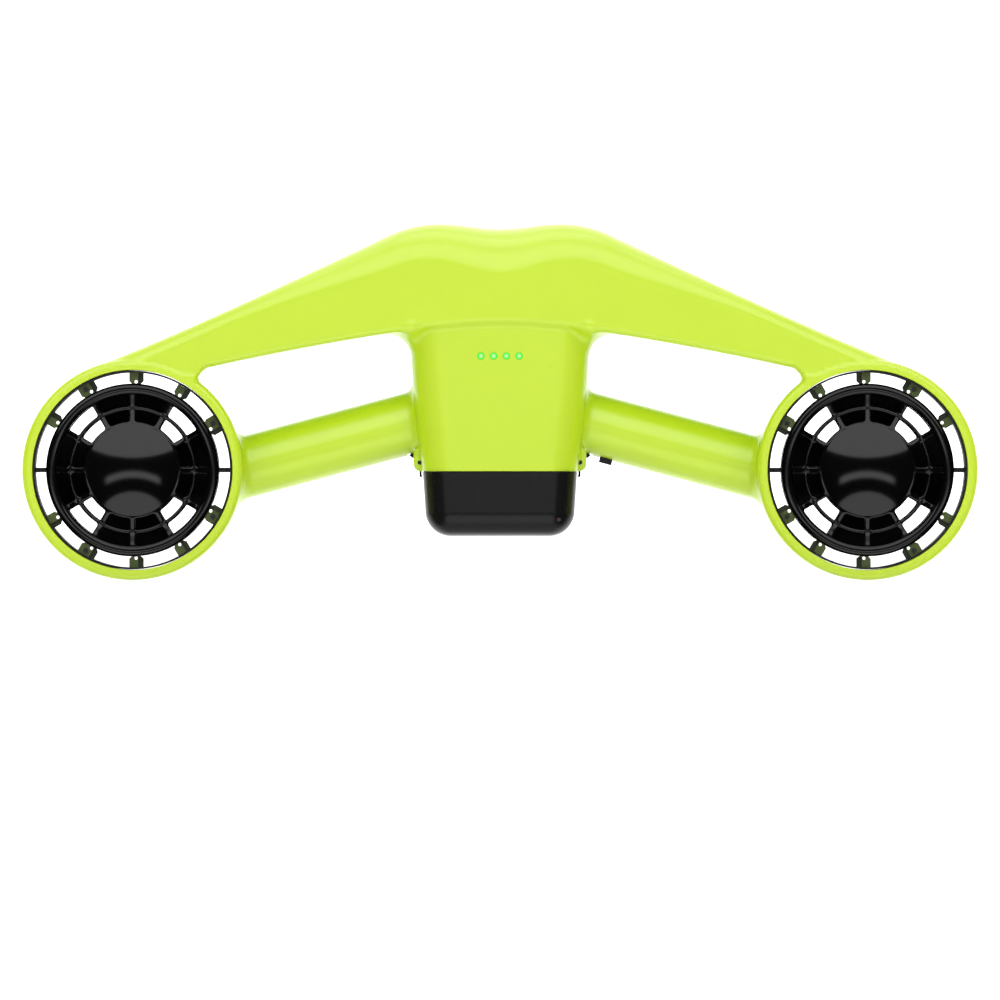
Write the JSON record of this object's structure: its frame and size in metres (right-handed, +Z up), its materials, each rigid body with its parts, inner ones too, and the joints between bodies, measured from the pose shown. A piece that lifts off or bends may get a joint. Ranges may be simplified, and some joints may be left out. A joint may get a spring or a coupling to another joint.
{
  "type": "underwater scooter",
  "caption": "Hand-held underwater scooter: a hollow lime arch joins two ducted thrusters, with two straight grips below it and a removable battery in the middle.",
  "frame": {"origin": "on the ground below the middle of the scooter, which stands on its two rings", "axes": "+X to the right as seen from the user's side, +Y the way it travels, +Z up"},
  "size_m": [0.52, 0.092, 0.1939],
  "materials": {
    "lime_plastic": "satin, lime",
    "black_plastic": "satin black",
    "gloss_black": "gloss black",
    "dark_plastic": "satin dark grey",
    "bracket_plastic": "satin, dark olive",
    "steel": "brushed",
    "dark_screws": "blackened",
    "motor_metal": "hard anodised",
    "lamination": "stacked sheet",
    "copper": "enamelled copper",
    "brass": "turned",
    "gold": "plated",
    "circuit_board": "solder mask",
    "aluminium": "extruded",
    "green_light": "lit green",
    "red_light": "dark red lens, unlit",
    "cell_wrap": null,
    "rubber": "soft",
    "wire": "silicone",
    "magnet": "nickel"
  },
  "bodies": {
    "housing": {"rear_shell": "lime_plastic", "front_shell": "lime_plastic", "shell_screws": "steel", "camera_mount": "brass", "battery_bay": "black_plastic", "power_socket": "black_plastic", "socket_pins": "gold", "controller_board": "circuit_board", "heat_sink": "aluminium", "light_board": "circuit_board", "charge_lights": "green_light", "button_sensor": "circuit_board", "latch_pins": "dark_screws", "latch_springs": "steel", "bracket_screws": "dark_screws", "motor_windings": "copper", "motor_bearings": "steel", "shaft_seals": "rubber", "left_liner": "black_plastic", "left_duct": "black_plastic", "left_duct_brackets": "bracket_plastic", "left_rear_guard": "gloss_black", "left_front_guard": "gloss_black", "left_motor_housing": "motor_metal", "left_motor_cover": "motor_metal", "left_motor_stator": "lamination", "left_motor_cable": "wire", "right_liner": "black_plastic", "right_duct": "black_plastic", "right_duct_brackets": "bracket_plastic", "right_rear_guard": "gloss_black", "right_front_guard": "gloss_black", "right_motor_housing": "motor_metal", "right_motor_cover": "motor_metal", "right_motor_stator": "lamination", "right_motor_cable": "wire"},
    "left_rotor": {"left_rotor_core": "lamination", "left_rotor_magnets": "magnet", "left_motor_shaft": "steel", "left_propeller": "black_plastic", "left_spinner": "black_plastic"},
    "right_rotor": {"right_rotor_core": "lamination", "right_rotor_magnets": "magnet", "right_motor_shaft": "steel", "right_propeller": "black_plastic", "right_spinner": "black_plastic"},
    "left_latch_lever": {"left_latch": "black_plastic"},
    "right_latch_lever": {"right_latch": "black_plastic"},
    "thumb_button_cap": {"thumb_button": "black_plastic", "button_magnet": "magnet", "button_spring": "steel"},
    "battery": {"battery_tray": "dark_plastic", "battery_case": "black_plastic", "battery_cells": "cell_wrap", "cell_holders": "black_plastic", "battery_monitor": "circuit_board", "battery_plug": "black_plastic", "plug_contacts": "gold", "battery_seal": "rubber", "battery_light": "red_light"}
  },
  "joints": [
    {"name": "left_propeller_spin", "type": "hinge", "parent": "housing", "child": "left_rotor", "pos_m": [-0.2, 0, 0.06], "axis": [0, 1, 0], "continuous": true},
    {"name": "right_propeller_spin", "type": "hinge", "parent": "housing", "child": "right_rotor", "pos_m": [0.2, 0, 0.06], "axis": [0, 1, 0], "continuous": true},
    {"name": "left_latch_swing", "type": "hinge", "parent": "housing", "child": "left_latch_lever", "pos_m": [-0.0436, 0, 0.064], "axis": [0, 1, 0], "range_deg": [0, 12], "stiffness_Nm_per_rad": 0.02, "springref_deg": -5.73},
    {"name": "right_latch_swing", "type": "hinge", "parent": "housing", "child": "right_latch_lever", "pos_m": [0.0436, 0, 0.064], "axis": [0, -1, 0], "range_deg": [0, 12], "stiffness_Nm_per_rad": 0.02, "springref_deg": -5.73},
    {"name": "thumb_button_press", "type": "slide", "parent": "housing", "child": "thumb_button_cap", "axis": [0.2571, 0, 0.9664], "range_m": [0, 0.002], "stiffness_N_per_m": 600, "springref_m": -0.001, "deforming": ["button_spring"]},
    {"name": "battery_slide", "type": "slide", "parent": "housing", "child": "battery", "axis": [0, 0, -1], "range_m": [0, 0.062]}
  ]
}
